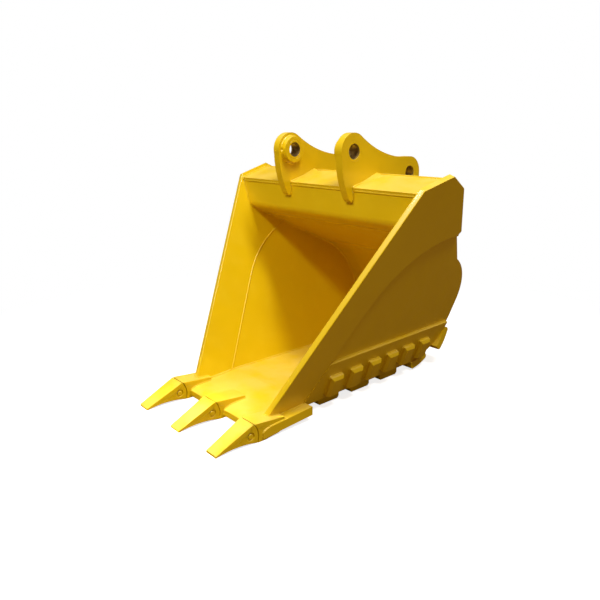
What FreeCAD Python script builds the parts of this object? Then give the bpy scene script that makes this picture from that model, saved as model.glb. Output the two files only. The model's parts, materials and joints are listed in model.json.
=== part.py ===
import FreeCAD, Part
import math
import os

# Heavy-duty excavator bucket, millimetres.
# Frame: origin at the centre of the stick pin bore, +Z up, +Y towards the heel, -Y towards the teeth,
# X along the pins. The bucket stands on its bottom wear bars.

os.makedirs("parts", exist_ok=True)
V = FreeCAD.Vector

# ---- driving dimensions -------------------------------------------------------------------------
# pins and ears
stick_pin_radius = 35.0
link_pin_radius = 32.5
link_pin_y = 413.0
link_pin_z = -111.0
bush_wall = 11.0
ear_gap = 400.0
ear_thickness = 40.0
ear_head_radius = 84.0
ear_end_radius = 79.0
neck_share = 0.41
neck_z = 5.0
shoulder_share = 0.80
ear_foot_inset = 26.0
tail_z = -217.0
tail_proud = 25.0
tail_side_share = 0.72
tail_side_z_share = 0.65
tail_round_share = 0.55
tail_round_drop_share = 0.42
boss_rim = 18.0
boss_height = 28.0
gusset_height = 15.0
gusset_toe = 38.0
gusset_inset = 18.0

# side walls: outer face x = half_width_at_pin + side_splay * z - side_taper * y
half_width_at_pin = 702.7
side_splay = math.tan(math.radians(20.17))
side_taper = math.tan(math.radians(0.86))
edge_plate_thickness = 29.0
side_plate_thickness = 14.0
side_proud = 12.0

# bucket profile
mouth_front_y = -2.0
mouth_top_z = -150.0
tube_bottom_z = -314.0
back_slope = -0.499
heel_y = 672.0
back_bend_radius = 280.0
heel_radius = 230.0
shell_thickness = 20.0
shell_seam_run = 535.0

# torque tube
tube_plate = 16.0
tube_bend_radius = 42.0
tube_bend_tail = 60.0
tube_inset = 11.0
tube_overhang = 8.0
tube_rear_radius = 60.0
diaphragm_thickness = 16.0

# top corner of the side wall
peak_rise = 52.0
peak_run = 185.0
chamfer_run = 115.0
chamfer_drop = 59.0
rear_edge_run = 134.0
rear_edge_drop = 222.0
notch_depth = 11.0

# lip
lip_front_y = -638.0
lip_front_z = -1145.0
lip_rear_y = -350.0
lip_tilt = 3.5
lip_thickness = 42.0
lip_overhang = 53.0
lip_bevel_length = 34.0
lip_bevel_drop = 12.0

# edge plate shape
mouth_slope_y = -592.0
edge_plate_corner_y = 62.0
edge_plate_foot_y = -362.0
edge_plate_rear_radius = 610.0

# teeth
outer_tooth_inset = 2.0
tooth_width = 98.0
tooth_tip_width = 72.0
tooth_length = 189.0
tooth_tip_height = 9.0
tooth_rear_rise = 40.0
tooth_drop = 10.0
tooth_setback = 46.0
tooth_gap = 3.5
tooth_rear_bulge = 22.0
tooth_rear_foot_share = 0.8
tooth_sole_hollow = 12.0
nose_length = 126.0
nose_width = 66.0
nose_tip_width = 44.0
nose_height = 70.0
nose_tip_height = 24.0
nose_drop = 20.0
nose_root = 6.0
nose_clearance = 1.5
strap_length = 125.0
strap_end_thickness = 14.0
strap_bottom_length = 95.0
strap_bottom_thickness = 8.0
collar_foot = 16.0
tooth_pin_radius = 12.0
tooth_pin_fit = 0.05
tooth_pin_setback = 16.0
tooth_pin_height_share = 0.43
tooth_pin_recess_radius = 19.0
tooth_pin_recess_depth = 8.0
tooth_pin_short = 1.5
tooth_pin_groove = 1.2
tooth_pin_chamfer = 2.5
retainer_wall = 7.0
retainer_width = 6.0
retainer_slot = 8.0
retainer_side_play = 1.0
retainer_cover = 6.0
ground_clearance = 1.0

# wear parts
liner_thickness = 14.0
liner_edge = 6.0
bar_inset = 18.0
bar_count = 3
bar_first_y = -226.0
bar_pitch = 227.0
bar_length = 142.0
bar_chamfer = 10.0
heel_bar_count = 2
heel_bar_start = 18.0
heel_bar_pitch = 40.5
heel_bar_sweep = 28.5
heel_bar_height = 40.0
side_wear_top_z = -944.0
side_wear_thickness = 16.0
pad_count = 6
pad_first_y = -230.0
pad_pitch = 137.0
pad_rise = 3.0
pad_length = 84.0
pad_top_drop = 74.0
pad_height = 104.0
pad_thickness = 28.0
pad_chamfer = 12.0

# ---- derived sizes ------------------------------------------------------------------------------
X_AXIS = V(1, 0, 0)
REACH = 2.0 * half_width_at_pin
TRIM_REACH = 200.0
normal_length = math.sqrt(1.0 + side_splay ** 2 + side_taper ** 2)
SIDE_NORMAL = V(1.0, side_taper, -side_splay) * (1.0 / normal_length)
stick_bush_radius = stick_pin_radius + bush_wall
link_bush_radius = link_pin_radius + bush_wall
ear_inner_x = ear_gap / 2.0
ear_outer_x = ear_inner_x + ear_thickness
lip_fall = math.tan(math.radians(lip_tilt))
lip_bottom_z = lip_front_z - lip_thickness
floor_z = lip_front_z + lip_fall * (lip_rear_y - lip_front_y)


def width_at(z, y):
    """Half width between the side walls' outer faces."""
    return half_width_at_pin + side_splay * z - side_taper * y


lip_half_width = width_at(lip_front_z, lip_front_y) + lip_overhang
tooth_pitch = width_at(lip_front_z, lip_front_y) - outer_tooth_inset
tooth_rear_y = lip_front_y - tooth_setback
tooth_top_z = lip_front_z + tooth_rear_rise
tooth_bottom_z = lip_bottom_z - tooth_drop
tooth_pin_y = tooth_rear_y - tooth_pin_setback
tooth_pin_z = tooth_bottom_z + tooth_pin_height_share * (tooth_top_z - tooth_bottom_z)
ground_z = tooth_bottom_z - ground_clearance
liner_top_z = floor_z - shell_thickness
liner_bottom_z = liner_top_z - liner_thickness
mouth_slope = (mouth_top_z - lip_front_z) / (mouth_front_y - mouth_slope_y)


# ---- outline helpers: a point is (y, z) -----------------------------------------------------------
def unit(a, b):
    length = math.hypot(b[0] - a[0], b[1] - a[1])
    return ((b[0] - a[0]) / length, (b[1] - a[1]) / length)


def line_cross(a, u, b, w):
    """Where the line through a along u meets the line through b along w."""
    det = u[0] * w[1] - u[1] * w[0]
    t = ((b[0] - a[0]) * w[1] - (b[1] - a[1]) * w[0]) / det
    return (a[0] + t * u[0], a[1] + t * u[1])


def offset_path(points, radii, distance):
    """The path moved sideways by distance, to its left, with its bends' radii kept concentric."""
    moved = []
    bends = []
    for i, p in enumerate(points):
        before = unit(points[i - 1], p) if i > 0 else None
        after = unit(p, points[i + 1]) if i + 1 < len(points) else None
        u = before or after
        w = after or before
        a = (p[0] - u[1] * distance, p[1] + u[0] * distance)
        if before is None or after is None:
            moved.append(a)
            bends.append(0.0)
            continue
        b = (p[0] - w[1] * distance, p[1] + w[0] * distance)
        turn = u[0] * w[1] - u[1] * w[0]
        moved.append(line_cross(a, u, b, w))
        bends.append(max(radii[i] - math.copysign(distance, turn), 0.0) if radii[i] else 0.0)
    return moved, bends


def rounded(points, radii, place):
    """Edges along the points, each corner rounded by its radius. place puts (y, z) into space."""
    edges = []
    start = points[0]
    for i in range(1, len(points)):
        corner = points[i]
        radius = radii[i] if i + 1 < len(points) else 0.0
        if radius <= 0.0:
            edges.append(Part.LineSegment(place(start), place(corner)).toShape())
            start = corner
            continue
        u = unit(points[i - 1], corner)
        w = unit(corner, points[i + 1])
        turn = math.acos(max(-1.0, min(1.0, u[0] * w[0] + u[1] * w[1])))
        run = radius * math.tan(turn / 2.0)
        first = (corner[0] - u[0] * run, corner[1] - u[1] * run)
        last = (corner[0] + w[0] * run, corner[1] + w[1] * run)
        inward = unit((0, 0), (w[0] - u[0], w[1] - u[1]))
        rise = radius / math.cos(turn / 2.0) - radius
        middle = (corner[0] + inward[0] * rise, corner[1] + inward[1] * rise)
        edges.append(Part.LineSegment(place(start), place(first)).toShape())
        edges.append(Part.Arc(place(first), place(middle), place(last)).toShape())
        start = last
    return edges


def closed(points, radii, place):
    """Edges round a closed outline, starting halfway along its last side."""
    middle = tuple((a + b) / 2.0 for a, b in zip(points[0], points[-1]))
    return rounded([middle] + points + [middle], [0.0] + radii + [0.0], place)


def face_of(edges):
    return Part.Face(Part.Wire(Part.__sortEdges__(edges)))


def at_x(x):
    return lambda p: V(x, p[0], p[1])


def slab(points, radii, x_low, x_high):
    """A flat part cut to the outline, between two x values."""
    return face_of(closed(points, radii, at_x(x_low))).extrude(V(x_high - x_low, 0, 0))


def plate(points, radii, thickness, x_low, x_high):
    """A bent plate: the path is one face, and the thickness lies to its left."""
    far, far_radii = offset_path(points, radii, thickness)
    place = at_x(x_low)
    edges = rounded(points, radii, place)
    edges += rounded(far, far_radii, place)
    edges.append(Part.LineSegment(place(points[0]), place(far[0])).toShape())
    edges.append(Part.LineSegment(place(points[-1]), place(far[-1])).toShape())
    return face_of(edges).extrude(V(x_high - x_low, 0, 0))


def on_side(depth):
    """Places (y, z) on the right side wall, depth below its outer face."""
    inward = SIDE_NORMAL * -depth

    def place(p):
        return V(width_at(p[1], p[0]), p[0], p[1]) + inward

    return place


def side_slab(points, radii, depth, thickness):
    """A flat part on the right side wall, from depth to depth + thickness below its outer face."""
    return face_of(closed(points, radii, on_side(depth))).extrude(SIDE_NORMAL * -thickness)


def beyond_side(depth):
    """Everything outside the right side wall's plane at that depth."""
    size = 3.0 * REACH
    corners = [(-size, -size), (size, -size), (size, size), (-size, size)]
    return face_of(closed(corners, [0.0] * 4, on_side(depth))).extrude(SIDE_NORMAL * size)


def mirrored(shape):
    return shape.mirror(V(0, 0, 0), X_AXIS)


def between_sides(shape):
    """Trims a full-width piece to the gap between the inner faces of the side walls."""
    outside = beyond_side(edge_plate_thickness)
    return shape.cut(outside).cut(mirrored(outside))


def box(x_low, x_high, y_low, y_high, z_low, z_high):
    return Part.makeBox(x_high - x_low, y_high - y_low, z_high - z_low, V(x_low, y_low, z_low))


def rod(radius, x_low, x_high, y, z):
    return Part.makeCylinder(radius, x_high - x_low, V(x_low, y, z), X_AXIS)


def ring(outer, inner, x_low, x_high, y, z):
    return rod(outer, x_low, x_high, y, z).cut(rod(inner, x_low, x_high, y, z))


def save(name, shape):
    solids = shape.Solids
    body = solids[0] if len(solids) == 1 else Part.makeCompound(solids)
    for solid in solids:
        if not solid.isValid():
            raise ValueError(name + " is not a valid solid")
    body.exportStep("parts/" + name + ".step")


def save_pair(name, shape):
    save(name + "_right", shape)
    save(name + "_left", mirrored(shape))


# ---- the bucket's profile -------------------------------------------------------------------------
# The inner face runs down the torque tube's front, back under it, round the heel and along the floor.
rear_corner = (heel_y, tube_bottom_z + back_slope * (heel_y - mouth_front_y))
inner_path = [
    (mouth_front_y, mouth_top_z - tube_plate - tube_inset),
    (mouth_front_y, tube_bottom_z),
    rear_corner,
    (heel_y, floor_z),
    (lip_rear_y, floor_z),
]
inner_radii = [0.0, tube_bend_radius, back_bend_radius, heel_radius, 0.0]
back_run = unit(inner_path[1], rear_corner)


def along_back(distance):
    start = inner_path[1]
    return (start[0] + back_run[0] * distance, start[1] + back_run[1] * distance)


front_plate_end = along_back(tube_bend_radius + tube_bend_tail)
shell_seam = along_back(shell_seam_run)

shell_upper_profile = plate([front_plate_end, shell_seam], [0.0, 0.0], shell_thickness, -REACH, REACH)
shell_lower_profile = plate(
    [shell_seam] + inner_path[2:], [0.0] + inner_radii[2:], shell_thickness, -REACH, REACH
)
front_profile = plate(
    inner_path[:2] + [front_plate_end], inner_radii[:2] + [0.0], tube_plate, -REACH, REACH
)

# The side wall's top corner, from the mouth to the notch.
mouth_top = (mouth_front_y, mouth_top_z)
peak = (mouth_top[0] + peak_run, mouth_top[1] + peak_rise)
chamfer_end = (peak[0] + chamfer_run, peak[1] - chamfer_drop)
rear_edge_end = (chamfer_end[0] + rear_edge_run, chamfer_end[1] - rear_edge_drop)
notch = (rear_edge_end[0] - notch_depth, rear_edge_end[1] - notch_depth)

# The rear edge of the thick edge plate, where the thinner side plate is butted to it.
edge_corner = (edge_plate_corner_y, notch[1] - notch_depth)
lip_top_at_foot = lip_front_z + lip_fall * (edge_plate_foot_y - lip_front_y)
edge_foot = (edge_plate_foot_y, lip_top_at_foot)
edge_end = (notch[0], edge_corner[1])
edge_line = unit(edge_foot, edge_corner)


def edge_line_y(z):
    return edge_foot[0] + (z - edge_foot[1]) * edge_line[0] / edge_line[1]


# ---- lip, adapters and teeth ----------------------------------------------------------------------
def lip():
    depth = lip_rear_y - lip_front_y
    rise = lip_fall * depth
    bevel_z = lip_front_z + lip_fall * lip_bevel_length
    outline = [
        (lip_front_y, lip_front_z - lip_bevel_drop),
        (lip_front_y + lip_bevel_length, bevel_z),
        (lip_rear_y, lip_front_z + rise),
        (lip_rear_y, lip_bottom_z + rise),
        (lip_front_y, lip_bottom_z),
    ]
    return slab(outline, [0.0] * 5, -lip_half_width, lip_half_width)


def taper(y_rear, half_rear, y_tip, half_tip, x):
    """A prism, taper in plan, that trims a tooth or a nose to its width."""
    low = tooth_bottom_z - tooth_width
    high = tooth_top_z + tooth_width
    corners = [
        V(x - half_rear, y_rear, low),
        V(x + half_rear, y_rear, low),
        V(x + half_tip, y_tip, low),
        V(x - half_tip, y_tip, low),
    ]
    return Part.Face(Part.makePolygon(corners + corners[:1])).extrude(V(0, 0, high - low))


def nose_solid(x, grow):
    """The adapter's nose inside the tooth, or with grow its pocket."""
    middle = (tooth_top_z + tooth_bottom_z) / 2.0
    rear_y = tooth_rear_y + tooth_rear_bulge + nose_root
    tip_y = rear_y - nose_length - grow
    half_rear = nose_height / 2.0 + grow
    half_tip = nose_tip_height / 2.0 + grow
    outline = [
        (rear_y, middle + half_rear),
        (tip_y, middle - nose_drop + half_tip),
        (tip_y, middle - nose_drop - half_tip),
        (rear_y, middle - half_rear),
    ]
    body = slab(outline, [0.0] * len(outline), x - tooth_width, x + tooth_width)
    return body.common(taper(rear_y, nose_width / 2.0 + grow, tip_y, nose_tip_width / 2.0 + grow, x))


def rear_curve(shift):
    """Three points down the tooth's bulged rear edge, moved back by shift."""
    return [
        (tooth_rear_y + shift, tooth_top_z),
        (tooth_rear_y + tooth_rear_bulge + shift, tooth_pin_z),
        (tooth_rear_y + tooth_rear_foot_share * tooth_rear_bulge + shift, tooth_bottom_z),
    ]


def tooth(x):
    place = at_x(x - tooth_width / 2.0)
    top, middle, bottom = [place(p) for p in rear_curve(0.0)]
    tip_y = tooth_rear_y - tooth_length
    tip_top = place((tip_y, tooth_bottom_z + tooth_tip_height))
    tip_bottom = place((tip_y, tooth_bottom_z))
    sole = place((tooth_rear_y - tooth_length / 2.0, tooth_bottom_z + tooth_sole_hollow))
    edges = [
        Part.Arc(top, middle, bottom).toShape(),
        Part.Arc(bottom, sole, tip_bottom).toShape(),
        Part.LineSegment(tip_bottom, tip_top).toShape(),
        Part.LineSegment(tip_top, top).toShape(),
    ]
    body = face_of(edges).extrude(V(tooth_width, 0, 0))
    body = body.common(taper(lip_front_y, tooth_width / 2.0, tip_y, tooth_tip_width / 2.0, x))
    half = tooth_width / 2.0
    pin_hole = rod(tooth_pin_radius + tooth_pin_fit, x - half, x + half, tooth_pin_y, tooth_pin_z)
    floor_x = half - tooth_pin_recess_depth
    recess = rod(tooth_pin_recess_radius, x + floor_x, x + half, tooth_pin_y, tooth_pin_z)
    recess = recess.fuse(rod(tooth_pin_recess_radius, x - half, x - floor_x, tooth_pin_y, tooth_pin_z))
    return body.cut(nose_solid(x, nose_clearance)).cut(pin_hole).cut(recess)


# The ring sits in the nose's right cheek, far enough in for the nose to cover it.
nose_share_at_pin = (tooth_rear_y + tooth_rear_bulge + nose_root - tooth_pin_y) / nose_length
nose_half_at_pin = (nose_width - (nose_width - nose_tip_width) * nose_share_at_pin) / 2.0
retainer_x = nose_half_at_pin - retainer_cover - retainer_width


def retainer_seat(x):
    """The recess in the nose's right cheek that holds the pin's retaining ring."""
    start = x + retainer_x
    return rod(tooth_pin_radius + retainer_wall, start, start + retainer_width, tooth_pin_y, tooth_pin_z)


def adapter(x, lip_shape):
    """Weld-on adapter: collar, nose and two straps that grip the lip."""
    collar = rear_curve(tooth_gap)
    strap_end = lip_front_y + strap_length
    lip_z_at_end = lip_front_z + lip_fall * strap_length
    bottom_end = lip_front_y + strap_bottom_length
    bottom_z = lip_bottom_z + lip_fall * strap_bottom_length
    place = at_x(x - tooth_width / 2.0)
    top, middle, bottom = [place(p) for p in collar]
    outline = [
        collar[2],
        (lip_front_y + collar_foot, tooth_bottom_z),
        (bottom_end, bottom_z - strap_bottom_thickness),
        (bottom_end, bottom_z),
        (strap_end, lip_z_at_end),
        (strap_end, lip_z_at_end + strap_end_thickness),
        collar[0],
    ]
    edges = [Part.Arc(top, middle, bottom).toShape()]
    for a, b in zip(outline, outline[1:]):
        edges.append(Part.LineSegment(place(a), place(b)).toShape())
    body = face_of(edges).extrude(V(tooth_width, 0, 0))
    body = body.fuse(nose_solid(x, 0.0)).removeSplitter()
    half = tooth_width / 2.0
    body = body.cut(rod(tooth_pin_radius + tooth_pin_fit, x - half, x + half, tooth_pin_y, tooth_pin_z))
    return body.cut(retainer_seat(x)).cut(lip_shape)


def tooth_pin(x):
    """Side-driven tooth pin with a groove for its retaining ring and chamfered ends."""
    setback = (tooth_rear_y - tooth_pin_y) * (tooth_width - tooth_tip_width) / (2.0 * tooth_length)
    half = tooth_width / 2.0 - setback - tooth_pin_short
    body = rod(tooth_pin_radius, x - half, x + half, tooth_pin_y, tooth_pin_z)
    ends = [e for e in body.Edges if e.Closed]
    body = body.makeChamfer(tooth_pin_chamfer, ends)
    groove_start = x + retainer_x + retainer_side_play
    groove = ring(
        tooth_pin_recess_radius,
        tooth_pin_radius - tooth_pin_groove,
        groove_start,
        groove_start + retainer_width - 2.0 * retainer_side_play,
        tooth_pin_y,
        tooth_pin_z,
    )
    return body.cut(groove)


def retainer(x):
    """Split spring ring that grips the pin's groove."""
    outer = tooth_pin_radius + retainer_wall
    start = x + retainer_x
    end = start + retainer_width
    body = ring(outer, tooth_pin_radius + tooth_pin_fit, start, end, tooth_pin_y, tooth_pin_z)
    half_slot = retainer_slot / 2.0
    slot_top = tooth_pin_z + 2.0 * outer
    slot = box(start, end, tooth_pin_y - half_slot, tooth_pin_y + half_slot, tooth_pin_z, slot_top)
    return body.cut(slot)


lip_plate = lip()
save("lip_plate", lip_plate)
adapters = []
for side, x in (("left", -tooth_pitch), ("middle", 0.0), ("right", tooth_pitch)):
    adapters.append(adapter(x, lip_plate))
    save("tooth_adapter_" + side, adapters[-1])
    save("tooth_tip_" + side, tooth(x))
    save("tooth_pin_" + side, tooth_pin(x))
    save("tooth_pin_retainer_" + side, retainer(x))


# ---- shell and side walls -------------------------------------------------------------------------
save("shell_upper_plate", between_sides(shell_upper_profile))
save("shell_heel_and_floor", between_sides(shell_lower_profile))

foot_z = lip_bottom_z
mouth_foot = (mouth_slope_y + (foot_z - lip_front_z) / mouth_slope, foot_z)
edge_outline = [
    mouth_foot,
    mouth_top,
    peak,
    chamfer_end,
    rear_edge_end,
    notch,
    edge_end,
    edge_corner,
    (edge_line_y(foot_z), foot_z),
]
edge_radii = [0.0] * 7 + [edge_plate_rear_radius, 0.0]
below_lip_top = slab(
    [
        (lip_front_y - TRIM_REACH, lip_front_z - lip_fall * TRIM_REACH),
        (lip_rear_y + TRIM_REACH, lip_front_z + lip_fall * (lip_rear_y + TRIM_REACH - lip_front_y)),
        (lip_rear_y + TRIM_REACH, foot_z - TRIM_REACH),
        (lip_front_y - TRIM_REACH, foot_z - TRIM_REACH),
    ],
    [0.0] * 4, -REACH, REACH,
)
edge_plate = side_slab(edge_outline, edge_radii, 0.0, edge_plate_thickness)
edge_plate = edge_plate.cut(below_lip_top).cut(adapters[2])
save_pair("side_edge_plate", edge_plate)

# The thinner rear plate is flush inside with the edge plate and runs proud of the shell, concentric with it.
rim = shell_thickness + side_proud
rim_radius = back_bend_radius + rim
rim_path = offset_path(inner_path[1:4], [0.0] * 3, rim)[0]
rim_corner = rim_path[1]
rim_turn = math.acos(-back_run[1])
rim_run = rim_radius * math.tan(rim_turn / 2.0)
bend_start = (rim_corner[0] - back_run[0] * rim_run, rim_corner[1] - back_run[1] * rim_run)
bend_end = (rim_corner[0], rim_corner[1] - rim_run)
inward = unit((0, 0), (-back_run[0], -1.0 - back_run[1]))
bend_rise = rim_radius / math.cos(rim_turn / 2.0) - rim_radius
bend_middle = (rim_corner[0] + inward[0] * bend_rise, rim_corner[1] + inward[1] * bend_rise)
side_edge_z = floor_z - rim


def side_plate():
    place = on_side(edge_plate_thickness - side_plate_thickness)
    outline = [
        bend_end,
        (heel_y + rim, side_edge_z),
        (edge_line_y(side_edge_z), side_edge_z),
        edge_corner,
        edge_end,
        notch,
        bend_start,
    ]
    radii = [0.0, heel_radius + rim, 0.0, edge_plate_rear_radius, 0.0, 0.0, 0.0]
    edges = rounded(outline, radii, place)
    edges.append(Part.Arc(place(bend_start), place(bend_middle), place(bend_end)).toShape())
    return face_of(edges).extrude(SIDE_NORMAL * -side_plate_thickness)


side_wall = side_plate().cut(lip_plate)
save_pair("side_plate", side_wall)


# ---- torque tube ------------------------------------------------------------------------------------
# Top and rear plates follow the side wall's top corner, a little inside it.
tube_path, tube_radii = offset_path(
    [mouth_top, peak, chamfer_end, rear_edge_end], [0.0] * 4, -tube_inset
)
top_slope = peak_rise / peak_run
tube_front = (tube_path[0][0] - tube_overhang, tube_path[0][1] - tube_overhang * top_slope)
rear_foot = line_cross(tube_path[2], unit(tube_path[2], tube_path[3]), inner_path[1], back_run)
top_split = tube_path[1]
shell_profiles = [shell_upper_profile, shell_lower_profile, front_profile]


def trimmed(body, others):
    """The largest piece left when the others are cut away."""
    for other in others:
        body = body.cut(other)
    return max(body.Solids, key=lambda s: s.Volume)


top_raw = plate([tube_front, top_split], [0.0, 0.0], -tube_plate, -REACH, REACH)
top_raw = trimmed(top_raw, shell_profiles)
rear_path = [top_split, tube_path[2], rear_foot]
rear_raw = plate(rear_path, [0.0, tube_rear_radius, 0.0], -tube_plate, -REACH, REACH)
rear_raw = trimmed(rear_raw, shell_profiles + [top_raw])
front_raw = trimmed(front_profile, [top_raw, rear_raw])
save("torque_tube_top_plate", between_sides(top_raw))
save("torque_tube_rear_plate", between_sides(rear_raw))
save("torque_tube_front_plate", between_sides(front_raw))

# Everything under the tube's outer skin, for trimming what is welded on it.
tube_brow_z = tube_front[1] - tube_plate
envelope_outline = [
    tube_front,
    top_split,
    tube_path[2],
    rear_foot,
    inner_path[1],
    (mouth_front_y, tube_brow_z),
    (tube_front[0], tube_brow_z),
]
envelope_radii = [0.0, 0.0, tube_rear_radius, 0.0, tube_bend_radius, 0.0, 0.0]
tube_envelope = slab(envelope_outline, envelope_radii, -REACH, REACH)


def diaphragm():
    """Rib inside the torque tube, in line with the ear above it."""
    start = ear_inner_x + (ear_thickness - diaphragm_thickness) / 2.0
    window = box(start, start + diaphragm_thickness, -REACH, REACH, -REACH, REACH)
    others = [top_raw, rear_raw, front_raw, shell_upper_profile, shell_lower_profile]
    return trimmed(tube_envelope.common(window), others)


save_pair("torque_tube_diaphragm", diaphragm())


# ---- ears, bosses and bushes ------------------------------------------------------------------------
def on_round(centre, radius, degrees):
    """A point on a circle, at an angle above the level line towards the heel."""
    angle = math.radians(degrees)
    return (centre[0] + radius * math.cos(angle), centre[1] + radius * math.sin(angle))


def ear():
    """Ear plate: round head at the stick pin, hollow neck, round rear end, tail down the tube's front."""
    place = at_x(ear_inner_x)
    stick = (0.0, 0.0)
    link = (link_pin_y, link_pin_z)
    head_front = on_round(stick, ear_head_radius, 195.0)
    head_top = on_round(stick, ear_head_radius, 120.0)
    head_rear = on_round(stick, ear_head_radius, 56.0)
    neck = (neck_share * link_pin_y, neck_z)
    shoulder = (shoulder_share * link_pin_y, link_pin_z + ear_end_radius)
    end_top = on_round(link, ear_end_radius, 90.0)
    end_rear = on_round(link, ear_end_radius, 0.0)
    tube_z = tube_path[0][1]
    tail_side = (-tail_side_share * ear_head_radius, tail_side_z_share * tail_z)
    tail_front = (mouth_front_y - tail_proud, tail_z)
    tail_end = (mouth_front_y, tail_z - tail_proud / 2.0)
    tail_round = (mouth_front_y - tail_round_share * tail_proud, tail_z - tail_round_drop_share * tail_proud)
    rear_foot_y = end_rear[0] - ear_foot_inset
    foot_z = tube_path[3][1]
    corners = [end_rear, (end_rear[0], tube_z), (rear_foot_y, foot_z), (0.0, foot_z), tail_end]
    edges = [
        Part.Arc(place(head_front), place(head_top), place(head_rear)).toShape(),
        Part.Arc(place(head_rear), place(neck), place(shoulder)).toShape(),
        Part.LineSegment(place(shoulder), place(end_top)).toShape(),
        Part.Arc(place(end_top), place(on_round(link, ear_end_radius, 45.0)), place(end_rear)).toShape(),
        Part.Arc(place(tail_end), place(tail_round), place(tail_front)).toShape(),
        Part.Arc(place(tail_front), place(tail_side), place(head_front)).toShape(),
    ]
    for a, b in zip(corners, corners[1:]):
        edges.append(Part.LineSegment(place(a), place(b)).toShape())
    body = face_of(edges).extrude(V(ear_thickness, 0, 0))
    bores = [
        rod(stick_bush_radius, ear_inner_x, ear_outer_x, 0.0, 0.0),
        rod(link_bush_radius, ear_inner_x, ear_outer_x, link_pin_y, link_pin_z),
    ]
    return trimmed(body, [tube_envelope] + bores)


save_pair("ear", ear())
boss_inner_x = ear_inner_x - boss_height
for name, bush_radius, pin_radius, y, z in (
    ("stick_pin", stick_bush_radius, stick_pin_radius, 0.0, 0.0),
    ("link_pin", link_bush_radius, link_pin_radius, link_pin_y, link_pin_z),
):
    boss = ring(bush_radius + boss_rim, bush_radius, boss_inner_x, ear_inner_x, y, z)
    save_pair(name + "_boss", boss.cut(tube_envelope))
    save_pair(name + "_bush", ring(bush_radius, pin_radius, boss_inner_x, ear_outer_x, y, z))


def gusset(x, out):
    """Small wedge between an ear's foot and the tube's top plate, highest at its rear."""
    front_y = tube_front[0] + gusset_inset
    rear_y = tube_path[1][0] - gusset_inset
    base_front = V(x, front_y, tube_front[1] + gusset_inset * top_slope)
    base_rear = V(x, rear_y, tube_path[1][1] - gusset_inset * top_slope)
    top_rear = base_rear + V(0, 0, gusset_height)
    toe_rear = base_rear + V(out * gusset_toe, 0, 0)
    faces = [
        Part.Face(Part.makePolygon([base_front, base_rear, top_rear, base_front])),
        Part.Face(Part.makePolygon([base_front, toe_rear, base_rear, base_front])),
        Part.Face(Part.makePolygon([base_rear, toe_rear, top_rear, base_rear])),
        Part.Face(Part.makePolygon([base_front, top_rear, toe_rear, base_front])),
    ]
    return Part.makeSolid(Part.makeShell(faces))


for name, x, out in (("outer", ear_outer_x, 1.0), ("inner", ear_inner_x, -1.0)):
    wedge = gusset(x, out)
    save("ear_gussets_" + name, Part.makeCompound([wedge, mirrored(wedge)]))


# ---- wear parts -------------------------------------------------------------------------------------
heel_centre = (heel_y - heel_radius, floor_z + heel_radius)
inner_face_run = edge_plate_thickness * normal_length
liner_half_width = width_at(side_edge_z, heel_centre[0]) - inner_face_run - liner_edge
liner = box(
    -liner_half_width, liner_half_width, lip_rear_y + liner_edge, heel_centre[0], liner_bottom_z, liner_top_z
)
save("bottom_liner_plate", liner)

bar_half_width = width_at(side_edge_z, heel_centre[0]) - bar_inset
for i in range(bar_count):
    low = bar_first_y + i * bar_pitch
    high = low + bar_length
    outline = [
        (low, liner_bottom_z),
        (low, ground_z + bar_chamfer),
        (low + bar_chamfer, ground_z),
        (high - bar_chamfer, ground_z),
        (high, ground_z + bar_chamfer),
        (high, liner_bottom_z),
    ]
    bar = slab(outline, [0.0] * len(outline), -bar_half_width, bar_half_width)
    save("bottom_wear_bar_" + str(i + 1), bar)

# Side wear plate: sits on the thinner side plate, level with the edge plate, and ends where the heel bars
# start.
wear_radius = heel_radius + shell_thickness
wear_bottom_z = heel_centre[1] - wear_radius
wear_depth = edge_plate_thickness - side_plate_thickness - side_wear_thickness
wear_place = on_side(wear_depth)
wear_top_angle = -math.degrees(math.asin((heel_centre[1] - side_wear_top_z) / wear_radius))
wear_corner = on_round(heel_centre, wear_radius, wear_top_angle)
wear_middle = on_round(heel_centre, wear_radius, (wear_top_angle - 90.0) / 2.0)
wear_heel = (heel_centre[0], wear_bottom_z)
wear_toe = (edge_line_y(wear_bottom_z), wear_bottom_z)
wear_brow = (edge_line_y(side_wear_top_z), side_wear_top_z)
wear_edges = [
    Part.LineSegment(wear_place(wear_brow), wear_place(wear_corner)).toShape(),
    Part.Arc(wear_place(wear_corner), wear_place(wear_middle), wear_place(wear_heel)).toShape(),
    Part.LineSegment(wear_place(wear_heel), wear_place(wear_toe)).toShape(),
    Part.LineSegment(wear_place(wear_toe), wear_place(wear_brow)).toShape(),
]
wear_plate = face_of(wear_edges).extrude(SIDE_NORMAL * -side_wear_thickness).cut(lip_plate)
save_pair("side_wear_plate", wear_plate)


bar_inner = heel_radius + shell_thickness
bar_outer = bar_inner + heel_bar_height
chamfer_angle = math.degrees(bar_chamfer / bar_outer)


def round_heel(radius, degrees):
    """A point round the heel, at an angle below the level line through its centre."""
    angle = math.radians(degrees)
    return V(-REACH, heel_centre[0] + radius * math.cos(angle), heel_centre[1] - radius * math.sin(angle))


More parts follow.
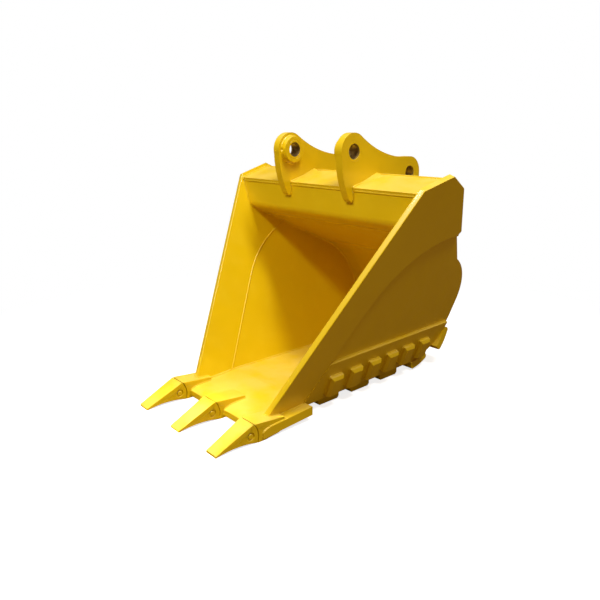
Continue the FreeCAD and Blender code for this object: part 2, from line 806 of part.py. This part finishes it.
def heel_bar(start):
    """Curved bar with square ends and chamfered edges, notched over the side plates' rims."""
    end = start + heel_bar_sweep
    middle = start + heel_bar_sweep / 2.0
    shoulder = bar_outer - bar_chamfer
    inner = [round_heel(bar_inner, a) for a in (start, middle, end)]
    outer = [round_heel(bar_outer, a) for a in (end - chamfer_angle, middle, start + chamfer_angle)]
    corners = [inner[2], round_heel(shoulder, end), outer[0], outer[2], round_heel(shoulder, start), inner[0]]
    edges = [
        Part.Arc(*inner).toShape(),
        Part.LineSegment(corners[0], corners[1]).toShape(),
        Part.LineSegment(corners[1], corners[2]).toShape(),
        Part.Arc(*outer).toShape(),
        Part.LineSegment(corners[3], corners[4]).toShape(),
        Part.LineSegment(corners[4], corners[5]).toShape(),
    ]
    end_x = width_at(inner[0].z, inner[0].y)
    window = box(-end_x, end_x, -REACH, REACH, -REACH, REACH)
    body = face_of(edges).extrude(V(2.0 * REACH, 0, 0)).common(window)
    return trimmed(body, [side_wall, mirrored(side_wall), wear_plate, mirrored(wear_plate)])


for i in range(heel_bar_count):
    save("heel_wear_bar_" + str(i + 1), heel_bar(heel_bar_start + i * heel_bar_pitch))

def pad(i):
    """Wear pad on the side wear plate, chamfered along its top and front."""
    low = pad_first_y + i * pad_pitch
    high = low + pad_length
    top = side_wear_top_z - pad_top_drop + i * pad_rise
    bottom = top - pad_height
    outline = [(low, bottom), (low, top), (high, top), (high, bottom)]
    body = side_slab(outline, [0.0] * 4, wear_depth - pad_thickness, pad_thickness)
    outer = on_side(wear_depth - pad_thickness)
    corners = [outer((low, top)), outer((high, top)), outer((low, bottom)), outer((high, bottom))]
    chamfered = []
    for edge in body.Edges:
        ends = [v.Point for v in edge.Vertexes]
        if all(min(e.distanceToPoint(c) for c in corners) < 0.01 for e in ends):
            chamfered.append(edge)
    return body.makeChamfer(pad_chamfer, chamfered)


for i in range(pad_count):
    save_pair("side_wear_pad_" + str(i + 1), pad(i))
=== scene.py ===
import bpy
import json
import math
import numpy as np
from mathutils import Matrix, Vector
from mathutils.bvhtree import BVHTree


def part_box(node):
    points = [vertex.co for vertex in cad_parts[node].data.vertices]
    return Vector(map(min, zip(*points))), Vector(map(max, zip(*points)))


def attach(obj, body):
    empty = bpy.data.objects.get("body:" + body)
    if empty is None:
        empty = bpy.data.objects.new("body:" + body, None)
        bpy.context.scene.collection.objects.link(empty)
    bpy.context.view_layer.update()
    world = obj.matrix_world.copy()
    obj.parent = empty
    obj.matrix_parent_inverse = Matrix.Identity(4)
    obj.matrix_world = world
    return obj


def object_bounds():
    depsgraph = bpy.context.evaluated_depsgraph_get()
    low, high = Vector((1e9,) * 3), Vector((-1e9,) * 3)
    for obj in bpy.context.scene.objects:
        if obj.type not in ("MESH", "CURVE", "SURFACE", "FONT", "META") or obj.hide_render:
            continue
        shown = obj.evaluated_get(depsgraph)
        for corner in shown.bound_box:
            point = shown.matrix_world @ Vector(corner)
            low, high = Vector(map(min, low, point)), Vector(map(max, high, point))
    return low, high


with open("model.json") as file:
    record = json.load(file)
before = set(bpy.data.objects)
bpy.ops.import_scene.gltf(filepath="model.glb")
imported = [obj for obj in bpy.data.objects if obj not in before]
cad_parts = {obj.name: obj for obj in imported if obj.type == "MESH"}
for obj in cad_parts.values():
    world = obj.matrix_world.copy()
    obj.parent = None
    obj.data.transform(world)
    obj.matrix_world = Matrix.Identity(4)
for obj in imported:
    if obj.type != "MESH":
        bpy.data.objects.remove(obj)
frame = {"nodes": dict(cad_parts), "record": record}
cad_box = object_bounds()
nodes = frame["nodes"]
SIDES = ("left", "right")
TEETH = ("left", "middle", "right")

# ---- sizes, metres unless a comment says otherwise ---------------------------------------------------
STICK_BORE = (0.0, 0.0, 0.035)  # y, z, radius
LINK_BORE = (0.413, -0.111, 0.0325)
BORE_MARGIN = 0.0012
MIST_START = 0.222  # out from the middle plane, where paint mist begins on the bores
MIST_FULL = 0.240
MERGE = 0.00002
EDGE_ROUND = 0.0016
FLUSH_ROUND = 0.0002
WIDE_ROUND = 0.0040
ROUND_SEGMENTS = 2
ROUND_ANGLE = 30.0  # degrees
FLAT_FACE_WEIGHT = 90
SEAM_REACH = 0.0006
SEAM_STEP = 0.003
SEAM_TEST_STEP = 4.0 * SEAM_STEP
MARKS_PER_METRE = 20000.0  # points that round to one mark are one place
STRAIGHT_ON = 0.5  # cosine of the sharpest turn that a bead follows
STEEP = 0.8  # upward share of a bead's heading beyond which its own frame starts from +Y
RIPPLE_PITCH = 0.0085
RIPPLE_DEPTH = 0.09  # share of the bead's radius
WANDER_STEP = 0.05
WANDER_DEPTH = 0.05  # share of the bead's radius
BEAD_SHORTEST = 2.0  # radii
BEAD_END_LENGTH = 1.5  # radii over which a bead's end runs out
BEAD_END_SHARE = 0.08
BEAD_FACETS = 8
FLOOR_REACH = 40.0
FLOOR_FADE_START = 1.0
FLOOR_FADE_END = 2.6

# ---- studio and camera values -------------------------------------------------------------------------
ROOM_GLOW = 0.26
ROOM_TINT = (1.0, 0.72, 0.36)
FLOOR_GLOW = 0.80
FLOOR_BOUNCE = (0.20, 0.13, 0.04)
BACKDROP_GLOW = 1.0
FLOOR_GREY = (0.62, 0.62, 0.62)
WHITE = (1.0, 1.0, 1.0)
LENS = 35.4  # mm, on a sensor SENSOR wide
SENSOR = 36.0
CAMERA_PLACE = (2.1469, -2.0428, 0.0948)
CAMERA_TILT = 73.93  # degrees from straight down
CAMERA_TURN = 48.14  # degrees about +Z

# ---- shader maths -----------------------------------------------------------------------------------


class Value:
    """One output in a material, usable in ordinary arithmetic."""

    def __init__(self, sheet, socket):
        self.sheet = sheet
        self.socket = socket

    def maths(self, operation, first, second):
        return self.sheet.add("ShaderNodeMath", {"operation": operation}, {0: first, 1: second})

    def __add__(self, other):
        return self.maths("ADD", self, other)

    def __radd__(self, other):
        return self.maths("ADD", other, self)

    def __sub__(self, other):
        return self.maths("SUBTRACT", self, other)

    def __rsub__(self, other):
        return self.maths("SUBTRACT", other, self)

    def __mul__(self, other):
        return self.maths("MULTIPLY", self, other)

    def __rmul__(self, other):
        return self.maths("MULTIPLY", other, self)

    def __pow__(self, other):
        return self.maths("POWER", self, other)

    def most(self, other):
        """The larger of the two."""
        return self.maths("MAXIMUM", self, other)

    def size(self):
        """The value without its sign."""
        return self.sheet.add("ShaderNodeMath", {"operation": "ABSOLUTE"}, {0: self})


class Sheet:
    """The node tree of one material."""

    def __init__(self, name, slot_colour):
        self.material = bpy.data.materials.new(name)
        self.material.use_nodes = True
        self.material.diffuse_color = (*slot_colour, 1.0)
        self.tree = self.material.node_tree
        self.tree.nodes.clear()
        self.places = self.add("ShaderNodeTexCoord", {}, {}, "Object")

    def add(self, kind, settings, values, output=0):
        """A node of one kind: its settings first, then the values or links of its sockets."""
        node = self.tree.nodes.new(kind)
        for name, setting in settings.items():
            setattr(node, name, setting)
        for key, value in values.items():
            if isinstance(value, Value):
                self.tree.links.new(value.socket, node.inputs[key])
            else:
                node.inputs[key].default_value = value
        return Value(self, node.outputs[output])

    def noise(self, scale, detail=3.0, roughness=0.5, stretch=None, shift=0.0):
        """Noise with scale cells to the metre. shift moves it, so two layers don't line up."""
        places = self.places
        if stretch or shift:
            moves = {"Vector": places, "Location": (shift, shift, shift), "Scale": stretch or (1.0, 1.0, 1.0)}
            places = self.add("ShaderNodeMapping", {}, moves)
        sizes = {"Vector": places, "Scale": scale, "Detail": detail, "Roughness": roughness}
        return self.add("ShaderNodeTexNoise", {}, sizes)

    def smooth(self, value, low, high):
        """A soft step from 0 to 1 as value goes from low to high."""
        settings = {"interpolation_type": "SMOOTHSTEP"}
        return self.add("ShaderNodeMapRange", settings, {"Value": value, "From Min": low, "From Max": high})

    def blend(self, mask, first, second):
        """The first colour where the mask is 0 and the second where it is 1."""
        # a colour Mix node takes its two colours at sockets 6 and 7 and gives its result at output 2
        settings = {"data_type": "RGBA"}
        return self.add("ShaderNodeMix", settings, {0: mask, 6: opaque(first), 7: opaque(second)}, output=2)

    def split(self, vector):
        """The x, y and z parts of a vector."""
        first = self.add("ShaderNodeSeparateXYZ", {}, {0: vector})
        return [Value(self, socket) for socket in first.socket.node.outputs]

    def normal_parts(self):
        return self.split(self.add("ShaderNodeNewGeometry", {}, {}, "Normal"))

    def relief(self, *layers):
        """Bumps on bumps: each layer is (height, depth in metres)."""
        normal = None
        for height, depth in layers:
            values = {"Height": height, "Distance": depth, "Strength": 1.0}
            if normal is not None:
                values["Normal"] = normal
            normal = self.add("ShaderNodeBump", {}, values)
        return normal

    def finish(self, colour, roughness, normal, metallic=0.0, coat=0.0):
        """Ends the sheet in one principled surface and hands back the material."""
        values = {
            "Base Color": opaque(colour),
            "Roughness": roughness,
            "Metallic": metallic,
            "Normal": normal,
            "Coat Weight": coat,
            "Coat Roughness": COAT_ROUGHNESS,
        }
        shader = self.add("ShaderNodeBsdfPrincipled", {}, values, "BSDF")
        self.add_output(shader)
        return self.material

    def mix_shader(self, mask, first, second):
        return self.add("ShaderNodeMixShader", {}, {0: mask, 1: first, 2: second})

    def add_output(self, shader):
        out = self.tree.nodes.new("ShaderNodeOutputMaterial")
        self.tree.links.new(shader.socket, out.inputs["Surface"])


def opaque(colour):
    """A plain colour with its alpha; a linked one goes through as it is."""
    return colour if isinstance(colour, Value) else (*colour, 1.0)


# ---- finishes ---------------------------------------------------------------------------------------
YELLOW = (0.800, 0.545, 0.0012)
YELLOW_WARM = (0.745, 0.490, 0.001)
YELLOW_PALE = (0.840, 0.600, 0.004)
PRIMER = (0.42, 0.16, 0.004)
# pale colour for up-facing faces: partly dust, partly a painted highlight standing in for the glare on top
# faces
DUST_AND_HIGHLIGHT = (0.88, 0.65, 0.24)
STEEL = (0.42, 0.31, 0.15)
RUST = (0.16, 0.085, 0.022)
PIN_BRIGHT = (0.50, 0.49, 0.47)
PIN_SCORED = (0.20, 0.17, 0.15)
SPRING_GREY = (0.10, 0.10, 0.12)
SPRING_BLUE = (0.055, 0.060, 0.085)
SPRING_BROWN = (0.14, 0.10, 0.07)
# how far the up-facing faces go towards that pale colour, which is dust and painted highlight together
DUST_AND_HIGHLIGHT_COVER = 0.34
SPECK_COVER = 0.16
COAT = 0.25
COAT_ROUGHNESS = 0.12
WAVE_DEPTH = 0.0016
PEEL_DEPTH = 0.00011
TOOLING_DEPTH = 0.0002
PIN_MARK_DEPTH = 0.0001
SPRING_GRAIN_DEPTH = 0.00005
FLOOR_GRAIN_DEPTH = 0.0002


def painted(sheet, mottle=0.5, grit=0.0):
    """Colour, roughness and bumps of sprayed enamel. grit adds the skin of a casting under it."""
    broad = sheet.noise(2.3)
    patches = sheet.noise(13.0, detail=4.0, shift=3.1)
    colour = sheet.blend(sheet.smooth(broad, 0.35, 0.68) * mottle, YELLOW, YELLOW_WARM)
    colour = sheet.blend(sheet.smooth(patches, 0.52, 0.72) * (0.45 * mottle), colour, YELLOW_PALE)
    up = sheet.normal_parts()[2]
    specks = sheet.smooth(sheet.noise(260.0, detail=2.0, shift=1.7), 0.70, 0.78)
    dust_and_highlight_patches = sheet.noise(7.0, detail=5.0, roughness=0.65, shift=7.7)
    # Up-facing faces go paler in patches: partly dust, partly a painted highlight for the glare that top
    # faces catch from the lamps above. The same mask also roughens them.
    dust_and_highlight = sheet.smooth(up, 0.35, 1.0) * sheet.smooth(dust_and_highlight_patches, 0.24, 0.70)
    colour = sheet.blend(dust_and_highlight * DUST_AND_HIGHLIGHT_COVER, colour, DUST_AND_HIGHLIGHT)
    colour = sheet.blend(specks * SPECK_COVER, colour, PRIMER)
    roughness = 0.33 + 0.10 * sheet.smooth(patches, 0.3, 0.7) + 0.12 * dust_and_highlight
    peel = sheet.noise(330.0, detail=2.0, roughness=0.45)
    waves = sheet.noise(5.5, detail=1.5, roughness=0.4, shift=5.0)
    layers = [(waves, WAVE_DEPTH), (peel, PEEL_DEPTH)]
    if grit:
        layers.insert(1, (sheet.noise(70.0, detail=4.0, roughness=0.6), grit))
    return colour, roughness, layers


def plate_paint(name, mottle=0.5, grit=0.0):
    """Enamel under a thin clear gloss."""
    sheet = Sheet(name, YELLOW)
    colour, roughness, layers = painted(sheet, mottle, grit)
    return sheet.finish(colour, roughness, sheet.relief(*layers), coat=COAT)


def bore_steel():
    """Bare bored steel inside the bushes, paint on their end faces."""
    sheet = Sheet("bush_steel", STEEL)
    colour, roughness, layers = painted(sheet)
    across, along, up = sheet.split(sheet.places)
    bare = None
    for y, z, radius in (STICK_BORE, LINK_BORE):
        distance = ((along - y) * (along - y) + (up - z) * (up - z)) ** 0.5
        near = 1.0 - sheet.smooth(distance, radius + 0.4 * BORE_MARGIN, radius + BORE_MARGIN)
        bare = near if bare is None else bare.most(near)
    stain = sheet.smooth(sheet.noise(38.0, detail=5.0, roughness=0.6), 0.42, 0.66)
    tooling = sheet.noise(60.0, detail=2.0, stretch=(22.0, 1.0, 1.0))
    metal = sheet.blend(stain * 0.8, STEEL, RUST)
    mist = sheet.smooth(across.size(), MIST_START, MIST_FULL) * sheet.smooth(sheet.noise(90.0), 0.36, 0.60)
    metal = sheet.blend(mist * 0.55, metal, YELLOW_WARM)
    normal = sheet.relief(*layers, (tooling * bare, TOOLING_DEPTH))
    return sheet.finish(
        sheet.blend(bare, colour, metal),
        roughness * (1.0 - bare) + bare * (0.30 + 0.35 * stain),
        normal,
        metallic=bare * (1.0 - 0.7 * stain) * (1.0 - 0.8 * mist),
    )


def pin_steel():
    """Tooth pins: sprayed over on their ends, bright where they sit in the tooth."""
    sheet = Sheet("pin_steel", YELLOW)
    colour, roughness, layers = painted(sheet)
    facing = sheet.normal_parts()[0].size()
    bare = 1.0 - sheet.smooth(facing, 0.30, 0.55)
    marks = sheet.noise(55.0, stretch=(0.2, 1.0, 1.0))
    scored = sheet.smooth(marks, 0.50, 0.64)
    metal = sheet.blend(scored * 0.6, PIN_BRIGHT, PIN_SCORED)
    return sheet.finish(
        sheet.blend(bare, colour, metal),
        roughness * (1.0 - bare) + bare * (0.24 + 0.2 * scored),
        sheet.relief(*layers, (marks, PIN_MARK_DEPTH)),
        metallic=bare,
    )


def spring_steel():
    """The retaining rings: blued spring steel going brown."""
    sheet = Sheet("spring_steel", SPRING_GREY)
    cloud = sheet.noise(60.0)
    colour = sheet.blend(sheet.smooth(cloud, 0.4, 0.65), SPRING_BLUE, SPRING_BROWN)
    grain = sheet.relief((sheet.noise(400.0, detail=2.0), SPRING_GRAIN_DEPTH))
    return sheet.finish(colour, 0.30 + 0.2 * cloud, grain, metallic=1.0)


finishes = {
    "structure_paint": plate_paint("structure_paint"),
    "shell_paint": plate_paint("shell_paint", mottle=0.6),
    "wear_part_paint": plate_paint("wear_part_paint", mottle=0.6, grit=0.0005),
    "tooth_paint": plate_paint("tooth_paint", mottle=0.4, grit=0.0007),
    "bush_steel": bore_steel(),
    "pin_steel": pin_steel(),
    "spring_steel": spring_steel(),
}
weld_paint = plate_paint("weld_paint", mottle=0.3, grit=0.0009)

slot_of = {row["node"]: row["material_slot"] for row in frame["record"]["subparts"]}
for name, piece in nodes.items():
    for material_slot in piece.material_slots:
        material_slot.material = finishes[slot_of[name]]


# ---- rounded plate edges ------------------------------------------------------------------------------
def round_edges(piece, width):
    """Closes the seams between the piece's faces, rounds its edges and keeps its faces flat."""
    seams = piece.modifiers.new("closed seams", "WELD")
    seams.merge_threshold = MERGE
    bevel = piece.modifiers.new("rounded edges", "BEVEL")
    bevel.width = width
    bevel.segments = ROUND_SEGMENTS
    bevel.limit_method = "ANGLE"
    bevel.angle_limit = math.radians(ROUND_ANGLE)
    bevel.miter_outer = "MITER_ARC"
    bevel.use_clamp_overlap = True
    flat = piece.modifiers.new("flat faces", "WEIGHTED_NORMAL")
    flat.keep_sharp = False
    flat.weight = FLAT_FACE_WEIGHT


ROUNDS = {
    "lip_plate": FLUSH_ROUND,
    "shell_heel_and_floor": FLUSH_ROUND,
    "ear_gussets_inner": FLUSH_ROUND,
    "ear_gussets_outer": FLUSH_ROUND,
    "side_edge_plate_left": WIDE_ROUND,
    "side_edge_plate_right": WIDE_ROUND,
}
for name, piece in nodes.items():
    round_edges(piece, ROUNDS.get(name, EDGE_ROUND))


# ---- weld beads ---------------------------------------------------------------------------------------
def key(point):
    """Names a place, the same for points that lie together."""
    return tuple(round(point[i] * MARKS_PER_METRE) for i in range(3))


def outline_edges(piece):
    """The edges that only one facet uses, each once: those around the piece's CAD faces."""
    mesh = piece.data
    shared = {}
    for polygon in mesh.polygons:
        for edge in polygon.edge_keys:
            shared[edge] = shared.get(edge, 0) + 1
    edges = {}
    for (i, j), count in shared.items():
        if count == 1:
            a = mesh.vertices[i].co
            b = mesh.vertices[j].co
            edges[frozenset((key(a), key(b)))] = (a.copy(), b.copy())
    return list(edges.values())


trees = {}


def surface(name):
    """The piece's facets, held for quick distance tests."""
    if name not in trees:
        mesh = nodes[name].data
        points = [v.co for v in mesh.vertices]
        trees[name] = BVHTree.FromPolygons(points, [p.vertices for p in mesh.polygons])
    return trees[name]


def on_surface(tree, point):
    return tree.find_nearest(point, SEAM_REACH)[0] is not None


def seam_steps(first, second):
    """Short lengths of first's edges that lie on second."""
    low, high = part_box(second)
    tree = surface(second)
    steps = []
    for a, b in outline_edges(nodes[first]):
        below = any(max(a[i], b[i]) < low[i] - SEAM_REACH for i in range(3))
        above = any(min(a[i], b[i]) > high[i] + SEAM_REACH for i in range(3))
        if below or above:
            continue
        count = max(1, math.ceil((b - a).length / SEAM_TEST_STEP))
        marks = [a.lerp(b, i / count) for i in range(count + 1)]
        held = [on_surface(tree, p) for p in marks]
        for i in range(count):
            if held[i] and held[i + 1] and on_surface(tree, (marks[i] + marks[i + 1]) / 2.0):
                steps.append((marks[i], marks[i + 1]))
    return steps


def chains(steps):
    """Joins short lengths end to end into runs, broken where they fork or turn sharply."""
    places = {}
    links = {}
    for a, b in steps:
        ka, kb = key(a), key(b)
        if ka == kb:
            continue
        places[ka] = a
        places[kb] = b
        links.setdefault(ka, set()).add(kb)
        links.setdefault(kb, set()).add(ka)

    def straight_on(before, here, after):
        u = (places[here] - places[before]).normalized()
        w = (places[after] - places[here]).normalized()
        return u.dot(w) > STRAIGHT_ON

    runs = []
    used = set()
    starts = sorted(k for k in links if len(links[k]) != 2) + sorted(links)
    for start in starts:
        for step in sorted(links[start]):
            if frozenset((start, step)) in used:
                continue
            used.add(frozenset((start, step)))
            run = [start, step]
            while len(links[run[-1]]) == 2:
                ahead = [k for k in links[run[-1]] if k != run[-2]]
                if not ahead or frozenset((run[-1], ahead[0])) in used:
                    break
                if not straight_on(run[-2], run[-1], ahead[0]):
                    break
                used.add(frozenset((run[-1], ahead[0])))
                run.append(ahead[0])
            runs.append([places[k] for k in run])
    return runs


def even_points(run):
    """Points at even steps along a run, and how far along it each one lies."""
    points = np.array([tuple(p) for p in run])
    lengths = np.linalg.norm(np.diff(points, axis=0), axis=1)
    along = np.concatenate([[0.0], np.cumsum(lengths)])
    count = max(2, int(round(along[-1] / SEAM_STEP)) + 1)
    wanted = np.linspace(0.0, along[-1], count)
    return np.stack([np.interp(wanted, along, points[:, i]) for i in range(3)], axis=1), wanted


def lay_bead(run, radius, rng, vertices, faces):
    """Adds a rippled bead along a run, thinner towards both of its ends."""
    centres, along = even_points(run)
    if along[-1] < BEAD_SHORTEST * radius:
        return
    ahead = np.gradient(centres, axis=0)
    ahead /= np.linalg.norm(ahead, axis=1)[:, None]
    helper = np.array([0.0, 1.0, 0.0] if abs(ahead[0][2]) >= STEEP else [0.0, 0.0, 1.0])
    across = np.cross(ahead, helper)
    across /= np.linalg.norm(across, axis=1)[:, None]
    over = np.cross(across, ahead)
    bends = 2 + int(along[-1] / WANDER_STEP)
    wander = np.interp(along, np.linspace(0.0, along[-1], bends), rng.uniform(-1.0, 1.0, bends))
    ripple = np.abs(np.sin(math.pi * along / RIPPLE_PITCH + wander))
    size = radius * (1.0 - RIPPLE_DEPTH + RIPPLE_DEPTH * ripple + WANDER_DEPTH * wander)
    ends = np.minimum(along, along[-1] - along)
    size *= np.sqrt(np.clip(BEAD_END_SHARE + ends / (BEAD_END_LENGTH * radius), 0.0, 1.0))
    first = len(vertices)
    turns = np.linspace(0.0, 2.0 * math.pi, BEAD_FACETS, endpoint=False)
    for i in range(len(centres)):
        for turn in turns:
            spot = centres[i] + size[i] * (math.cos(turn) * across[i] + math.sin(turn) * over[i])
            vertices.append(spot)
    for i in range(len(centres) - 1):
        for j in range(BEAD_FACETS):
            k = (j + 1) % BEAD_FACETS
            row = first + i * BEAD_FACETS
            faces.append((row + j, row + k, row + BEAD_FACETS + k, row + BEAD_FACETS + j))
    last = first + (len(centres) - 1) * BEAD_FACETS
    faces.append(tuple(first + j for j in reversed(range(BEAD_FACETS))))
    faces.append(tuple(last + j for j in range(BEAD_FACETS)))


def weld(name, radius, pairs, seed):
    """All the beads that join these pairs of pieces, as one visible piece."""
    rng = np.random.default_rng(seed)
    vertices = []
    faces = []
    done = set()
    for first, second in pairs:
        steps = []
        for a, b in seam_steps(first, second) + seam_steps(second, first):
            middle = key((a + b) / 2.0)
            if middle not in done:
                done.add(middle)
                steps.append((a, b))
        for run in chains(steps):
            lay_bead(run, radius, rng, vertices, faces)
    mesh = bpy.data.meshes.new(name)
    mesh.from_pydata([tuple(v) for v in vertices], [], faces)
    mesh.materials.append(weld_paint)
    mesh.polygons.foreach_set("use_smooth", [True] * len(mesh.polygons))
    piece = bpy.data.objects.new(name, mesh)
    bpy.context.scene.collection.objects.link(piece)
    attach(piece, "bucket")


tube = ["torque_tube_top_plate", "torque_tube_rear_plate", "torque_tube_front_plate"]
shell = ["shell_upper_plate", "shell_heel_and_floor"]
walls = ["side_edge_plate_" + s for s in SIDES] + ["side_plate_" + s for s in SIDES]
ears = ["ear_" + s for s in SIDES]
weld("weld_beads_shell_to_sides", 0.0055, [(w, p) for w in walls for p in shell + tube], 11)
weld("weld_beads_side_walls", 0.0035, [("side_plate_" + s, "side_edge_plate_" + s) for s in SIDES], 12)
weld("weld_beads_torque_tube", 0.0045, [
    (tube[0], tube[1]), (tube[0], tube[2]), (tube[1], shell[0]), (tube[2], shell[0]), (shell[0], shell[1]),
], 13)
weld("weld_beads_ears", 0.0060, [(e, p) for e in ears for p in tube], 14)
weld("weld_beads_bosses", 0.0075, [
    (b + "_boss_" + s, "ear_" + s) for b in ("stick_pin", "link_pin") for s in SIDES
], 15)
weld("weld_beads_lip", 0.0060, [("lip_plate", p) for p in walls], 16)
weld("weld_beads_adapters", 0.0042, [("tooth_adapter_" + t, "lip_plate") for t in TEETH] + [
    ("tooth_adapter_" + s, "side_edge_plate_" + s) for s in SIDES
], 17)
weld("weld_beads_side_wear_plates", 0.0045, [("side_wear_plate_" + s, "side_plate_" + s) for s in SIDES], 18)
weld("weld_beads_side_wear_pads", 0.0045, [
    ("side_wear_pad_%d_%s" % (i, s), "side_wear_plate_" + s) for i in range(1, 7) for s in SIDES
], 19)
weld("weld_beads_bottom_wear_bars", 0.0055, [
    ("bottom_wear_bar_%d" % i, "bottom_liner_plate") for i in range(1, 4)
] + [("bottom_liner_plate", shell[1])] + [("heel_wear_bar_%d" % i, shell[1]) for i in (1, 2)], 20)


# ---- floor, light and camera --------------------------------------------------------------------------
def floor():
    """Pale ground that fades into the backdrop, and throws little light back under the bucket."""
    low = cad_box[0][2]
    mesh = bpy.data.meshes.new("studio_floor")
    corners = [(x * FLOOR_REACH, y * FLOOR_REACH, low) for x, y in ((-1, -1), (1, -1), (1, 1), (-1, 1))]
    mesh.from_pydata(corners, [], [(0, 1, 2, 3)])
    sheet = Sheet("studio_floor", (0.9, 0.9, 0.9))
    across, along = sheet.split(sheet.places)[:2]
    distance = (across * across + along * along) ** 0.5
    grain = sheet.relief((sheet.noise(40.0, detail=2.0), FLOOR_GRAIN_DEPTH))
    lit = {
        "Base Color": opaque(FLOOR_GREY),
        "Roughness": 0.9,
        "Normal": grain,
        "Emission Color": opaque(WHITE),
        "Emission Strength": FLOOR_GLOW,
    }
    near = sheet.add("ShaderNodeBsdfPrincipled", {}, lit, "BSDF")
    white = sheet.add("ShaderNodeEmission", {}, {"Color": opaque(WHITE), "Strength": BACKDROP_GLOW})
    pale = sheet.mix_shader(sheet.smooth(distance, FLOOR_FADE_START, FLOOR_FADE_END), near, white)
    dull = sheet.add("ShaderNodeBsdfDiffuse", {}, {"Color": opaque(FLOOR_BOUNCE)})
    seen = sheet.add("ShaderNodeLightPath", {}, {}, "Is Camera Ray")
    sheet.add_output(sheet.mix_shader(seen, dull, pale))
    mesh.materials.append(sheet.material)
    piece = bpy.data.objects.new("studio_floor", mesh)
    bpy.context.scene.collection.objects.link(piece)


def area_light(name, place, target, size, power, spread=180.0):
    """A rectangular light aimed at target: size in metres, power in watts, spread in degrees."""
    light = bpy.data.lights.new(name, "AREA")
    light.shape = "RECTANGLE"
    light.size, light.size_y = size
    light.energy = power
    light.spread = math.radians(spread)
    lamp = bpy.data.objects.new(name, light)
    lamp.location = place
    aim = Vector(target) - Vector(place)
    lamp.rotation_euler = aim.to_track_quat("-Z", "Y").to_euler()
    bpy.context.scene.collection.objects.link(lamp)


floor()
area_light("overhead_strip", (3.1, -0.20, 6.0), (3.1, -0.20, 0.0), (3.0, 1.0), 425.0)
area_light("front_strip", (0.1, -3.1, 3.1), (0.0, 0.0, -0.5), (2.4, 0.5), 135.0)
area_light("tooth_light", (0.05, -1.5, 1.7), (0.0, -0.92, -1.16), (0.3, 0.3), 1.7, spread=20.0)

world = bpy.data.worlds.new("studio")
bpy.context.scene.world = world
world.use_nodes = True
backdrop = world.node_tree
glow = backdrop.nodes["Background"]
glow.inputs["Color"].default_value = opaque(ROOM_TINT)
glow.inputs["Strength"].default_value = ROOM_GLOW
white = backdrop.nodes.new("ShaderNodeBackground")
white.inputs["Strength"].default_value = BACKDROP_GLOW
white.inputs["Color"].default_value = opaque(WHITE)
seen = backdrop.nodes.new("ShaderNodeLightPath")
either = backdrop.nodes.new("ShaderNodeMixShader")
backdrop.links.new(seen.outputs["Is Camera Ray"], either.inputs[0])
backdrop.links.new(glow.outputs[0], either.inputs[1])
backdrop.links.new(white.outputs[0], either.inputs[2])
backdrop.links.new(either.outputs[0], backdrop.nodes["World Output"].inputs["Surface"])

camera = bpy.data.cameras.new("camera")
camera.lens = LENS
camera.sensor_width = SENSOR
viewer = bpy.data.objects.new("camera", camera)
viewer.location = CAMERA_PLACE
viewer.rotation_euler = (math.radians(CAMERA_TILT), 0.0, math.radians(CAMERA_TURN))
bpy.context.scene.collection.objects.link(viewer)
bpy.context.scene.camera = viewer
bpy.context.scene.view_settings.view_transform = "Standard"
